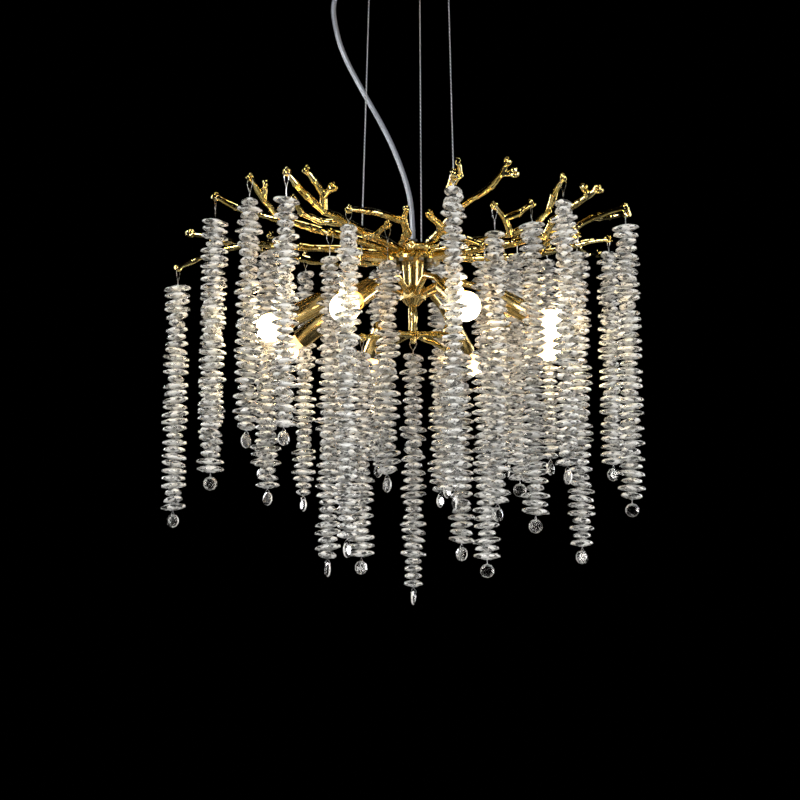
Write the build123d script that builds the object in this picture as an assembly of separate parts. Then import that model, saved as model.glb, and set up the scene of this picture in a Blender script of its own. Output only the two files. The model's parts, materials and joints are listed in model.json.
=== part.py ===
from build123d import *
import math
import os

# A branch chandelier hung from a ceiling plate by three steel ropes.
# Millimetres, +Z up. The origin is the middle of the ceiling face of the mounting bar.
# +X is the viewer's right, and "front" is the distance towards the viewer, which is -Y.
# Heights called "up" are measured from the top face of the hub plate.

# ---- ceiling plate -------------------------------------------------------------
CANOPY_RADIUS = 110.0
CANOPY_HEIGHT = 30.0
CANOPY_WALL = 1.2
CANOPY_CORNER = 6.0
BAR_WIDTH = 25.0
BAR_THICKNESS = 2.0
BAR_FLANGE = 16.0
BAR_FIT = 0.1
CEILING_HOLE_SPACING = 70.0
CEILING_HOLE_RADIUS = 2.5
SIDE_SCREW_RADIUS = 2.0
SIDE_SCREW_HEAD_RADIUS = 3.6
SIDE_SCREW_HEAD_HEIGHT = 2.4
SIDE_SCREW_LENGTH = 8.0
SIDE_SCREW_UP = -10.0
SCREW_FIT = 0.1
TERMINAL_LENGTH = 34.0
TERMINAL_WIDTH = 17.0
TERMINAL_HEIGHT = 14.0
TERMINAL_BORE_RADIUS = 1.8
TERMINAL_WAYS = 3

# ---- suspension ----------------------------------------------------------------
HUB_DROP = 440.0
ROPE_RADIUS = 0.8
ROPE_AZIMUTHS = (-70.0, 50.0, 170.0)
ROPE_TOP_REACH = 58.0
ROPE_HUB_REACH = 69.0
ROPE_FIT = 0.35
ROPE_TAIL = 6.0
GRIPPER_RADIUS = 4.5
GRIPPER_LENGTH = 18.0
GRIPPER_NECK_RADIUS = 3.5
GRIPPER_NECK_LENGTH = 9.0
GRIPPER_NUT_RADIUS = 6.0
GRIPPER_NUT_HEIGHT = 3.0
FERRULE_RADIUS = 3.0
FERRULE_LENGTH = 8.0

# ---- power cord ----------------------------------------------------------------
CORD_RADIUS = 3.2
CORD_GRIP_REACH = 92.0
CORD_GRIP_FLANGE_RADIUS = 9.0
CORD_GRIP_FLANGE_HEIGHT = 3.0
CORD_GRIP_LENGTH = 22.0
CORD_GRIP_TIP_RADIUS = 4.6
CORD_GRIP_NECK_RADIUS = 6.0
CORD_GRIP_NECK_LENGTH = 6.0
CORD_ARC_SHARE = 0.45
# (right, below the ceiling) of each point of the cord's route between its two ends
CORD_ROUTE = ((-92, 67), (-104, 95), (-101, 126), (-90, 166), (-62, 220), (-31, 276), (-10, 330), (0, 374))

# ---- stem and hub --------------------------------------------------------------
STEM_RADIUS = 5.0
STEM_WALL = 1.0
STEM_ABOVE_HUB = 24.0
STEM_FIT = 0.05
BUSHING_FLANGE_RADIUS = 5.6
BUSHING_FLANGE_HEIGHT = 3.0
BUSHING_PLUG_LENGTH = 8.0
HUB_PLATE_RADIUS = 34.0
HUB_PLATE_THICKNESS = 4.0
HUB_ARM_WIDTH = 14.0
COLUMN_LENGTH = 32.0
COLUMN_TOP_RADIUS = 14.0
COLUMN_BOTTOM_RADIUS = 11.0
BOSS_APOTHEM = 15.0
BOSS_HEIGHT = 16.0
BOSS_CONE_HEIGHT = 8.0
BOSS_CONE_RADIUS = 7.0
STEM_IN_BOSS = 8.0

# ---- lamps ---------------------------------------------------------------------
LAMP_COUNT = 8
LAMP_FIRST_AZIMUTH = -71.0
LAMP_REACH = 184.0
LAMP_UP = -100.0
LAMP_TILT = 30.0
LAMP_ARM_RADIUS = 4.0
LAMP_ARM_WALL = 1.0
LAMP_ARM_LEAD = 38.0
LAMP_ARM_CREST_REACH = 46.0
LAMP_ARM_CREST_UP = -30.0
LAMP_ARM_BEND = 14.0
SLEEVE_RADIUS = 13.0
SLEEVE_LENGTH = 50.0
SLEEVE_WALL = 1.2
SLEEVE_CAP = 3.0
SLEEVE_SHOULDER = 2.5
SOCKET_LENGTH = 38.0
SOCKET_FIT = 0.3
SOCKET_BORE_RADIUS = 7.2
SOCKET_DEPTH = 28.0
BULB_RADIUS = 17.5
BULB_CAP_LENGTH = 24.0
BULB_NECK_RADIUS = 9.0
BULB_STANDOFF = 26.0

# ---- cast branches -------------------------------------------------------------
FOOT_REACH = 27.0
FOOT_RADIUS = 6.0
FOOT_HEIGHT = 7.0
LIMB_ROOT_RADIUS = 5.0
LIMB_TIP_RADIUS = 2.75
KNOT_SWELL = 1.18
EYELET_RADIUS = 5.2
EYELET_THICKNESS = 5.0
EYELET_HOLE_RADIUS = 2.2
BRANCH_SCREW_RADIUS = 1.5
BRANCH_SCREW_DEPTH = 5.0
BRANCH_SCREW_HEAD_RADIUS = 2.8
BRANCH_SCREW_HEAD_HEIGHT = 1.8
TRUNK_RADIUS = 4.5
TRUNK_FORK_UP = -96.0

# ---- crystal strands -----------------------------------------------------------
BEAD_LENGTH = 33.0
BEAD_WIDTH = 21.0
BEAD_THICKNESS = 7.2
BEAD_SIDES = 8
BEAD_TAPER = 45.0
BEAD_HOLE_RADIUS = 0.9
BEAD_HOLE_OFFSET = 0.5
BEAD_PITCH = 9.0
BEAD_WANDER = 75.0
BEAD_SPREAD = 50.0
BEAD_TILT = 3.0
WIRE_RADIUS = 0.35
LOOP_FIT = 0.3
LOOP_SIDE_FIT = 0.55
LOOP_FOOT_WIDTH = 4.0
LOOP_BEND = 0.8
LOOP_TO_BEAD = 2.0
DROP_RADIUS = 8.8
DROP_THICKNESS = 4.8
DROP_BEVEL = 1.4
DROP_HOLE_RADIUS = 1.0
DROP_HOLE_EDGE = 2.2
DROP_LOOP_LENGTH = 6.0

# Each strand hangs in the eyelet of a branch tip. Its row gives the eyelet's place,
# the height from the eyelet down to the first bead, and the number of beads.
#             right, front, up, drop, beads
STRANDS = {
    "strand_01": (-299, -15, -6, 23, 32),
    "strand_02": (-244, 70, 63, 29, 35),
    "strand_03": (-195, 146, 64, 26, 31),
    "strand_04": (-148, 198, 55, 31, 30),
    "strand_05": (-181, -10, 36, 20, 34),
    "strand_06": (-145, -165, 50, 24, 34),
    "strand_07": (-102, 80, 15, 31, 41),
    "strand_08": (-75, 215, 5, 19, 40),
    "strand_09": (-63, 46, -110, 18, 28),
    "strand_10": (-31, 150, 5, 46, 28),
    "strand_11": (0, 28, -109, 18, 32),
    "strand_12": (45, 215, 48, 18, 39),
    "strand_13": (58, 50, -112, 18, 26),
    "strand_14": (86, 100, -7, 21, 40),
    "strand_15": (96, 150, 28, 31, 36),
    "strand_16": (132, 5, 25, 18, 32),
    "strand_17": (141, 134, 35, 23, 39),
    "strand_18": (176, 168, 57, 28, 35),
    "strand_19": (205, 30, 25, 22, 41),
    "strand_20": (256, -60, 44, 18, 31),
    "strand_21": (263, 60, 52, 22, 38),
    "strand_22": (-263, -95, 52, 21, 27),
    "strand_23": (-199, -150, 60, 21, 31),
    "strand_24": (-96, -215, 63, 22, 36),
    "strand_25": (-48, -225, 66, 22, 29),
    "strand_26": (38, -190, 64, 21, 35),
    "strand_27": (128, -165, 57, 21, 30),
    "strand_28": (182, -130, 55, 21, 30),
    "strand_29": (44, -60, -104, 18, 17),
    "strand_30": (-44, -55, -105, 18, 14),
}

# Each cast branch has the azimuth of its foot and its limbs. A limb is a list of
# (right, front, up) points: the first limb starts at the foot, the others at a fork.
# A limb that ends in a strand's name ends in that strand's eyelet, and any other limb
# ends in an empty eyelet.
BRANCHES = {
    "branch_left": (-98, [
        [(-80, 5, 12), (-143, 24, 12), (-200, 24, 16), (-250, 6, 10), "strand_01"],
        [(-143, 24, 12), (-166, 6, 28), "strand_05"],
        [(-200, 24, 16), (-226, -6, 28), (-262, -24, 38), (-286, -30, 43)],
    ]),
    "branch_left_front": (-62, [
        [(-62, 42, 14), (-110, 60, 22), (-150, 66, 32), (-190, 56, 44), (-220, 62, 52), "strand_02"],
        [(-110, 60, 22), "strand_07"],
        [(-150, 66, 32), (-168, 100, 32), (-180, 125, 43), "strand_03"],
        [(-180, 125, 43), (-177, 136, 59)],
    ]),
    "branch_front_left": (-33, [
        [(-48, 72, 12), (-80, 112, 18), (-106, 150, 22), (-125, 172, 34), (-138, 188, 43), "strand_04"],
        [(-106, 150, 22), (-106, 164, 37), (-116, 178, 50), (-125, 186, 60)],
        [(-106, 164, 37), (-94, 175, 43)],
        [(-80, 112, 18), (-112, 125, 16), (-134, 138, 22), (-143, 150, 36)],
        [(-48, 72, 12), (-58, 98, 6), (-46, 126, 0), "strand_10"],
    ]),
    "branch_front": (-5, [
        [(-13, 60, 8), (-8, 90, 10), (-12, 114, 20), (-38, 140, 21), (-58, 178, 13), "strand_08"],
        [(-12, 114, 20), (-9, 124, 31)],
    ]),
    "branch_front_right": (23, [
        [(22, 60, 9), (34, 100, 10), (44, 140, 16), (42, 170, 26), (42, 192, 38), "strand_12"],
        [(42, 192, 38), (54, 204, 48), (51, 224, 58)],
        [(44, 140, 16), (62, 150, 30), (90, 175, 45), (104, 190, 54), (109, 200, 66)],
        [(104, 190, 54), (118, 194, 55)],
        [(34, 100, 10), (31, 142, 6), (19, 168, 13)],
        [(34, 100, 10), (60, 101, 2), "strand_14"],
        [(22, 60, 9), (26, 80, 0), (14, 95, -7), (-4, 108, -8)],
    ]),
    "branch_right_front": (50, [
        [(46, 28, 10), (74, 50, 12), (97, 80, 9), (117, 112, 5), (109, 138, 16), "strand_15"],
        [(109, 138, 16), (126, 137, 22), "strand_17"],
        [(117, 112, 5), (146, 106, 16), (162, 130, 28), (167, 150, 42), "strand_18"],
    ]),
    "branch_right": (82, [
        [(75, 10, 10), (125, 36, 14), (165, 44, 20), (203, 52, 28), (222, 54, 40), "strand_21"],
        [(75, 10, 10), (104, 6, 18), "strand_16"],
        [(165, 44, 20), (188, 36, 24), "strand_19"],
        [(222, 54, 40), (246, 40, 46), (268, 30, 53)],
        [(165, 44, 20), (171, 66, 33), (200, 80, 50), (214, 90, 58), (210, 95, 67)],
        [(214, 90, 58), (226, 96, 64)],
    ]),
    "branch_right_back": (115, [
        [(75, -26, 10), (120, -40, 14), (165, -44, 20), (210, -48, 32), (235, -54, 40), "strand_20"],
        [(210, -48, 32), (229, -74, 28), (246, -92, 33)],
        [(165, -44, 20), (170, -30, 28), (175, -18, 37)],
        [(120, -40, 14), (140, -75, 24), (160, -105, 38), "strand_28"],
        [(140, -75, 24), (136, -110, 32), (132, -140, 43), "strand_27"],
    ]),
    "branch_back": (188, [
        [(-12, -75, 10), (2, -118, 24), (18, -160, 46), "strand_26"],
        [(-12, -75, 10), (-24, -130, 26), (-36, -180, 46), "strand_25"],
        [(-24, -130, 26), (-55, -165, 40), (-78, -195, 52), "strand_24"],
    ]),
    "branch_left_back": (225, [
        [(-60, -60, 12), (-105, -95, 20), (-150, -120, 34), (-175, -135, 46), "strand_23"],
        [(-105, -95, 20), (-122, -125, 32), (-134, -146, 40), "strand_06"],
        [(-150, -120, 34), (-195, -112, 42), (-236, -102, 46), "strand_22"],
    ]),
}

# the twigs of the small casting under the lamps, all from its fork
LOWER_TWIGS = [
    [(-34, 27, -101), "strand_09"],
    [(4, 12, -101), "strand_11"],
    [(32, 29, -103), "strand_13"],
    [(24, -32, -99), "strand_29"],
    [(-25, -30, -100), "strand_30"],
]


# ---- places --------------------------------------------------------------------
def spot(right, front, up):
    """A point given from the hub plate's top face."""
    return Vector(right, -front, up - HUB_DROP)


def around(azimuth, reach, up):
    """A point at a distance from the axis, with azimuth 0 at the front and 90 at the right."""
    turn = math.radians(azimuth)
    return spot(reach * math.sin(turn), reach * math.cos(turn), up)


def tip(end):
    """The middle of the eyelet that a limb ends in, given by its strand's name or its place."""
    return spot(*(STRANDS[end][:3] if isinstance(end, str) else end))


def across(along):
    """The level direction square to another direction."""
    return Vector(-along.Y, along.X, 0).normalized()


def rod(start, end, radius, end_radius=None):
    """A round rod or cone from one point to another."""
    place = Plane(origin=start, z_dir=end - start)
    length = (end - start).length
    align = (Align.CENTER, Align.CENTER, Align.MIN)
    if end_radius is None or abs(end_radius - radius) < 1e-6:
        return place.location * Cylinder(radius, length, align=align)
    return place.location * Cone(radius, end_radius, length, align=align)


def disc(radius, top, bottom):
    """An upright cylinder on the axis between two heights."""
    return Pos(0, 0, bottom) * Cylinder(radius, top - bottom, align=(Align.CENTER, Align.CENTER, Align.MIN))


def bent_tube(points, bends, radius, bore=0):
    """A round bar or tube along straight runs joined by arcs."""
    path = FilletPolyline(*points, radius=bends)
    section = Circle(radius) - Circle(bore) if bore else Circle(radius)
    return sweep(Plane(origin=path @ 0, z_dir=path % 0) * section, path=path)


def one(shape):
    """The single solid of a shape."""
    solids = shape.solids()
    if len(solids) != 1:
        raise ValueError(f"expected one solid, found {len(solids)}")
    return solids[0]


# ---- ceiling plate -------------------------------------------------------------
CANOPY_FLOOR = -CANOPY_HEIGHT
CANOPY_INNER = CANOPY_RADIUS - CANOPY_WALL
ROPE_TOPS = [around(a, ROPE_TOP_REACH, HUB_DROP + CANOPY_FLOOR) for a in ROPE_AZIMUTHS]
CORD_TOP = Vector(-CORD_GRIP_REACH, 0, CANOPY_FLOOR)
BAR_REACH = CANOPY_INNER - BAR_FIT
CEILING_HOLES = [Vector(0, s * CEILING_HOLE_SPACING / 2, 0) for s in (-1, 1)]
SIDES = (Vector(0, -1, 0), Vector(0, 1, 0))


def ceiling_canopy():
    outer = disc(CANOPY_RADIUS, 0, CANOPY_FLOOR)
    outer = fillet(outer.edges().group_by(Axis.Z)[0], CANOPY_CORNER)
    inner = disc(CANOPY_INNER, 1, CANOPY_FLOOR + CANOPY_WALL)
    inner = fillet(inner.edges().group_by(Axis.Z)[0], CANOPY_CORNER - CANOPY_WALL)
    shell = outer - inner
    reach = 4 * CANOPY_WALL
    for top in ROPE_TOPS:
        shell -= rod(top - Vector(0, 0, reach), top + Vector(0, 0, reach), GRIPPER_NECK_RADIUS + SCREW_FIT)
    shell -= rod(CORD_TOP - Vector(0, 0, reach), CORD_TOP + Vector(0, 0, reach), CORD_GRIP_NECK_RADIUS + SCREW_FIT)
    for side in SIDES:
        wall = side * CANOPY_RADIUS + Vector(0, 0, SIDE_SCREW_UP)
        shell -= rod(wall - side * reach, wall + side * reach, SIDE_SCREW_RADIUS + SCREW_FIT)
    return [one(shell)]


def mounting_bar():
    bar = Box(BAR_WIDTH, 2 * BAR_REACH, BAR_THICKNESS, align=(Align.CENTER, Align.CENTER, Align.MAX))
    for side in SIDES:
        flange = Box(BAR_WIDTH, BAR_THICKNESS, BAR_FLANGE, align=(Align.CENTER, Align.CENTER, Align.MAX))
        bar += Pos(side * (BAR_REACH - BAR_THICKNESS / 2)) * flange
    for side in SIDES:
        hole = side * BAR_REACH + Vector(0, 0, SIDE_SCREW_UP)
        bar -= rod(hole - side * 4 * BAR_THICKNESS, hole + side, SIDE_SCREW_RADIUS + STEM_FIT)
    for hole in CEILING_HOLES:
        bar -= rod(hole - Vector(0, 0, 2 * BAR_THICKNESS), hole + Vector(0, 0, 1), CEILING_HOLE_RADIUS)
    # the bar's ends follow the round wall of the canopy
    bar &= disc(BAR_REACH, 1, -BAR_FLANGE - 1)
    return [one(bar)]


def canopy_screws():
    screws = []
    for side in SIDES:
        seat = side * CANOPY_RADIUS + Vector(0, 0, SIDE_SCREW_UP)
        head = rod(seat, seat + side * SIDE_SCREW_HEAD_HEIGHT, SIDE_SCREW_HEAD_RADIUS, SIDE_SCREW_HEAD_RADIUS * 0.7)
        shank = rod(seat - side * SIDE_SCREW_LENGTH, seat + side * 0.5, SIDE_SCREW_RADIUS)
        screws.append(one(head + shank))
    return screws


def terminal_block():
    """The insulated block that joins the house wires to the cord, under the bar."""
    block = Box(TERMINAL_WIDTH, TERMINAL_LENGTH, TERMINAL_HEIGHT, align=(Align.CENTER, Align.CENTER, Align.MAX))
    block = chamfer(block.edges().filter_by(Axis.Y).group_by(Axis.Z)[0], 3)
    pitch = TERMINAL_LENGTH / TERMINAL_WAYS
    for way in range(TERMINAL_WAYS):
        along = (way - (TERMINAL_WAYS - 1) / 2) * pitch
        middle = Vector(0, along, -TERMINAL_HEIGHT / 2)
        block -= rod(middle - Vector(TERMINAL_WIDTH, 0, 0), middle + Vector(TERMINAL_WIDTH, 0, 0), TERMINAL_BORE_RADIUS)
    return [one(Pos(0, 0, -BAR_THICKNESS) * block)]


# ---- suspension ----------------------------------------------------------------
ROPE_FEET = [around(a, ROPE_HUB_REACH, 0) for a in ROPE_AZIMUTHS]
ROPE_LEAN = math.atan2(ROPE_HUB_REACH - ROPE_TOP_REACH, HUB_DROP - CANOPY_HEIGHT)
GRIPPER_BORE = ROPE_RADIUS + ROPE_FIT + GRIPPER_LENGTH * math.tan(ROPE_LEAN)
FERRULE_BORE = ROPE_RADIUS + ROPE_FIT / 2


def wire_grippers():
    """A clamp under the canopy for each rope, and its nut inside."""
    pieces = []
    for top in ROPE_TOPS:
        up = Vector(0, 0, 1)
        body = rod(top, top - up * GRIPPER_LENGTH, GRIPPER_RADIUS, GRIPPER_RADIUS * 0.8)
        body += rod(top, top + up * GRIPPER_NECK_LENGTH, GRIPPER_NECK_RADIUS)
        bore = rod(top - up * (GRIPPER_LENGTH + 1), top + up * (GRIPPER_NECK_LENGTH + 1), GRIPPER_BORE)
        pieces.append(one(body - bore))
        seat = top + up * CANOPY_WALL
        nut = Plane(origin=seat) * extrude(RegularPolygon(GRIPPER_NUT_RADIUS, 6), GRIPPER_NUT_HEIGHT)
        pieces.append(one(nut - rod(seat - up, seat + up * (GRIPPER_NUT_HEIGHT + 1), GRIPPER_NECK_RADIUS + STEM_FIT)))
    return pieces


def suspension_ropes():
    ropes = []
    for top, foot in zip(ROPE_TOPS, ROPE_FEET):
        along = (top - foot).normalized()
        low = foot - along * (HUB_PLATE_THICKNESS + FERRULE_LENGTH - ROPE_FIT)
        high = top + along * (GRIPPER_NECK_LENGTH + ROPE_TAIL)
        ropes.append(one(rod(low, high, ROPE_RADIUS)))
    return ropes


def wire_ferrules():
    """The crimped stop under the hub's arm that carries the weight on each rope."""
    ferrules = []
    for top, foot in zip(ROPE_TOPS, ROPE_FEET):
        along = (top - foot) / (top - foot).Z
        seat = foot - along * HUB_PLATE_THICKNESS
        low = foot - along * (HUB_PLATE_THICKNESS + FERRULE_LENGTH)
        body = rod(Vector(seat.X, seat.Y, low.Z), seat, FERRULE_RADIUS)
        ferrules.append(one(body - rod(low - along, seat + along, FERRULE_BORE)))
    return ferrules


# ---- power cord ----------------------------------------------------------------
def cord_grip():
    """The strain relief that holds the cord in the canopy."""
    up = Vector(0, 0, 1)
    collar = CORD_TOP - up * CORD_GRIP_FLANGE_HEIGHT
    grip = rod(CORD_TOP, collar, CORD_GRIP_FLANGE_RADIUS, CORD_GRIP_FLANGE_RADIUS * 0.85)
    grip += rod(collar + up * 0.5, CORD_TOP - up * CORD_GRIP_LENGTH, CORD_GRIP_NECK_RADIUS, CORD_GRIP_TIP_RADIUS)
    grip += rod(CORD_TOP - up * 0.5, CORD_TOP + up * CORD_GRIP_NECK_LENGTH, CORD_GRIP_NECK_RADIUS)
    return [one(grip)]


def cord_points():
    """The cord's route: out of the strain relief, and down into the stem's bushing."""
    start = CORD_TOP - Vector(0, 0, CORD_GRIP_LENGTH)
    end = spot(0, 0, STEM_ABOVE_HUB + BUSHING_FLANGE_HEIGHT)
    return [start] + [Vector(right, 0, -below) for right, below in CORD_ROUTE] + [end]


def power_cord():
    points = cord_points()
    bends, arcs_less = [], 0.0
    for before, here, after in zip(points, points[1:], points[2:]):
        turn = math.radians((here - before).get_angle(after - here))
        shorter = min((here - before).length, (after - here).length)
        bends.append(CORD_ARC_SHARE * shorter / math.tan(turn / 2))
        arcs_less += bends[-1] * (2 * math.tan(turn / 2) - turn)
    length = sum((b - a).length for a, b in zip(points, points[1:])) - arcs_less
    cord = one(bent_tube(points, bends, CORD_RADIUS))
    print("cord bend radii", [round(bend) for bend in bends])
    print(f"cord length {length:.0f} mm, volume over section x length {cord.volume / (math.pi * CORD_RADIUS**2 * length):.4f}")
    return [cord]


# ---- stem and hub --------------------------------------------------------------
COLUMN_TOP = -HUB_DROP - HUB_PLATE_THICKNESS
BOSS_TOP = COLUMN_TOP - COLUMN_LENGTH
BOSS_BOTTOM = BOSS_TOP - BOSS_HEIGHT - BOSS_CONE_HEIGHT
STEM_BOTTOM = BOSS_TOP - STEM_IN_BOSS
STEM_TOP = -HUB_DROP + STEM_ABOVE_HUB
BRANCH_FEET = {name: around(azimuth, FOOT_REACH, 0) for name, (azimuth, _) in BRANCHES.items()}


def stem_tube():
    return [one(disc(STEM_RADIUS, STEM_TOP, STEM_BOTTOM) - disc(STEM_RADIUS - STEM_WALL, STEM_TOP + 1, STEM_BOTTOM - 1))]


def stem_bushing():
    """The ring in the stem's mouth that keeps the cord off its edge."""
    flange = disc(BUSHING_FLANGE_RADIUS, STEM_TOP + BUSHING_FLANGE_HEIGHT, STEM_TOP)
    plug = disc(STEM_RADIUS - STEM_WALL - STEM_FIT, STEM_TOP + 0.5, STEM_TOP - BUSHING_PLUG_LENGTH)
    return [one(flange + plug)]


def hub_plate():
    """The plate that the branches stand on, with an arm for each rope."""
    plate = Circle(HUB_PLATE_RADIUS)
    for foot in ROPE_FEET:
        reach = math.hypot(foot.X, foot.Y)
        turn = math.degrees(math.atan2(foot.Y, foot.X))
        plate += Rot(0, 0, turn) * Pos(reach / 2, 0) * SlotCenterToCenter(reach, HUB_ARM_WIDTH)
    plate = Pos(0, 0, -HUB_DROP) * extrude(plate, -HUB_PLATE_THICKNESS)
    deep = 2 * HUB_PLATE_THICKNESS
    plate -= disc(STEM_RADIUS + STEM_FIT, -HUB_DROP + deep, -HUB_DROP - deep)
    for foot in ROPE_FEET:
        plate -= rod(foot - Vector(0, 0, deep), foot + Vector(0, 0, deep), ROPE_RADIUS + ROPE_FIT)
    for foot in BRANCH_FEET.values():
        plate -= rod(foot - Vector(0, 0, deep), foot + Vector(0, 0, deep), BRANCH_SCREW_RADIUS + SCREW_FIT)
    return [one(plate)]


def hub_column():
    bore = disc(STEM_RADIUS + STEM_FIT, COLUMN_TOP + 1, BOSS_TOP - 1)
    column = rod(Vector(0, 0, COLUMN_TOP), Vector(0, 0, BOSS_TOP), COLUMN_TOP_RADIUS, COLUMN_BOTTOM_RADIUS)
    return [one(column - bore)]


def lamp_boss():
    """The eight-sided body that the lamp arms are screwed to, with a flat for each arm."""
    corner = BOSS_APOTHEM / math.cos(math.pi / LAMP_COUNT)
    flats = RegularPolygon(corner, LAMP_COUNT, rotation=LAMP_FLAT_TURN)
    boss = Pos(0, 0, BOSS_TOP) * extrude(flats, -BOSS_HEIGHT)
    cone_top = Vector(0, 0, BOSS_TOP - BOSS_HEIGHT)
    boss += rod(cone_top, Vector(0, 0, BOSS_BOTTOM), BOSS_APOTHEM * 0.9, BOSS_CONE_RADIUS)
    return [one(boss - disc(STEM_RADIUS + STEM_FIT, BOSS_TOP + 1, STEM_BOTTOM))]


def branch_screws():
    """The screw that comes up through the plate into the foot of each branch."""
    screws = []
    up = Vector(0, 0, 1)
    for foot in BRANCH_FEET.values():
        seat = foot - up * HUB_PLATE_THICKNESS
        head = rod(seat, seat - up * BRANCH_SCREW_HEAD_HEIGHT, BRANCH_SCREW_HEAD_RADIUS)
        screws.append(one(head + rod(seat - up * 0.5, foot + up * BRANCH_SCREW_DEPTH, BRANCH_SCREW_RADIUS)))
    return screws


# ---- lamps ---------------------------------------------------------------------
LAMP_AZIMUTHS = [LAMP_FIRST_AZIMUTH + 360 / LAMP_COUNT * lamp for lamp in range(LAMP_COUNT)]
# a flat of the boss faces each lamp: a polygon's first corner is at its rotation angle
LAMP_FLAT_TURN = LAMP_FIRST_AZIMUTH - 90 + 180 / LAMP_COUNT


def along_lamp(azimuth, distance):
    """A point on a lamp's axis, measured from the middle of its bulb, outwards and down."""
    tilt = math.radians(LAMP_TILT)
    return around(azimuth, LAMP_REACH + distance * math.cos(tilt), LAMP_UP - distance * math.sin(tilt))


SLEEVE_MOUTH = -BULB_STANDOFF
SLEEVE_TOP = SLEEVE_MOUTH - SLEEVE_LENGTH
SOCKET_TOP = SLEEVE_TOP + SLEEVE_CAP
SOCKET_MOUTH = SOCKET_TOP + SOCKET_LENGTH
CAP_TOP = SOCKET_MOUTH - BULB_CAP_LENGTH


def lamp_arms():
    arms = []
    arm_up = BOSS_TOP + HUB_DROP - BOSS_HEIGHT / 2
    for azimuth in LAMP_AZIMUTHS:
        points = [
            around(azimuth, BOSS_APOTHEM, arm_up),
            around(azimuth, LAMP_ARM_CREST_REACH, LAMP_ARM_CREST_UP),
            along_lamp(azimuth, SLEEVE_TOP - LAMP_ARM_LEAD),
            along_lamp(azimuth, SOCKET_TOP),
        ]
        arms.append(bent_tube(points, LAMP_ARM_BEND, LAMP_ARM_RADIUS, LAMP_ARM_RADIUS - LAMP_ARM_WALL))
    # each arm's inner end is cut flat on its face of the boss
    corner = BOSS_APOTHEM / math.cos(math.pi / LAMP_COUNT)
    core = Pos(0, 0, BOSS_TOP + BOSS_HEIGHT) * extrude(RegularPolygon(corner, LAMP_COUNT, rotation=LAMP_FLAT_TURN), -3 * BOSS_HEIGHT)
    return [one(arm - core) for arm in arms]


def lamp_sleeves():
    """The gold cup over each socket."""
    sleeves = []
    for azimuth in LAMP_AZIMUTHS:
        top, mouth = along_lamp(azimuth, SLEEVE_TOP), along_lamp(azimuth, SLEEVE_MOUTH)
        shoulder = along_lamp(azimuth, SLEEVE_TOP + SLEEVE_SHOULDER)
        cup = rod(shoulder, mouth, SLEEVE_RADIUS) + rod(top, shoulder, SLEEVE_RADIUS - SLEEVE_SHOULDER, SLEEVE_RADIUS)
        cup -= rod(along_lamp(azimuth, SOCKET_TOP), along_lamp(azimuth, SLEEVE_MOUTH + 1), SLEEVE_RADIUS - SLEEVE_WALL)
        cup -= rod(along_lamp(azimuth, SLEEVE_TOP - 1), along_lamp(azimuth, SOCKET_TOP + 1), LAMP_ARM_RADIUS + STEM_FIT)
        sleeves.append(one(cup))
    return sleeves


def lamp_sockets():
    """The insulated holder that the bulb screws into."""
    sockets = []
    outer = SLEEVE_RADIUS - SLEEVE_WALL - SOCKET_FIT
    for azimuth in LAMP_AZIMUTHS:
        body = rod(along_lamp(azimuth, SOCKET_TOP), along_lamp(azimuth, SOCKET_MOUTH), outer)
        well = rod(along_lamp(azimuth, SOCKET_MOUTH - SOCKET_DEPTH), along_lamp(azimuth, SOCKET_MOUTH + 1), SOCKET_BORE_RADIUS)
        sockets.append(one(body - well))
    return sockets


def lamp_bulbs():
    """A small round bulb: its cap in the socket, its neck and its globe."""
    bulbs = []
    cap = SOCKET_BORE_RADIUS - SOCKET_FIT
    for azimuth in LAMP_AZIMUTHS:
        place = Plane(
            origin=along_lamp(azimuth, 0),
            x_dir=across(along_lamp(azimuth, 1) - along_lamp(azimuth, 0)),
            z_dir=along_lamp(azimuth, 1) - along_lamp(azimuth, 0),
        )
        neck_z = -math.sqrt(BULB_RADIUS**2 - BULB_NECK_RADIUS**2)
        with BuildLine() as half:
            Polyline((0, CAP_TOP), (cap, CAP_TOP), (cap, SOCKET_MOUTH),
                     (BULB_NECK_RADIUS, SOCKET_MOUTH + 2), (BULB_NECK_RADIUS, neck_z))
            ThreePointArc((BULB_NECK_RADIUS, neck_z), (BULB_RADIUS, 0), (0, BULB_RADIUS))
            Line((0, BULB_RADIUS), (0, CAP_TOP))
        profile = Plane.XZ * make_face(half.line)
        bulbs.append(one(place.location * revolve(profile, Axis.Z)))
    return bulbs


# ---- branches ------------------------------------------------------------------
def limb(points, start_radius, end_radius):
    """The tapering rods of a limb, with the radius and the onward direction at each point but the last."""
    steps = len(points) - 1
    radii = [start_radius + (end_radius - start_radius) * step / steps for step in range(steps + 1)]
    pieces = [rod(a, b, ra, rb) for a, b, ra, rb in zip(points, points[1:], radii, radii[1:])]
    return pieces, {tuple(a): (radius, b - a) for a, b, radius in zip(points, points[1:], radii)}


def limb_points(start, route):
    """The points of a limb from its base or its fork to its eyelet."""
    return ([start] if start is not None else []) + [spot(*point) for point in route[:-1]] + [tip(route[-1])]


def eyelet(before, middle):
    """The flat round end of a limb, and the hole to cut through it, square to the limb."""
    half = across(middle - before) * (EYELET_THICKNESS / 2)
    return rod(middle - half, middle + half, EYELET_RADIUS), rod(middle - half * 3, middle + half * 3, EYELET_HOLE_RADIUS)


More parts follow.
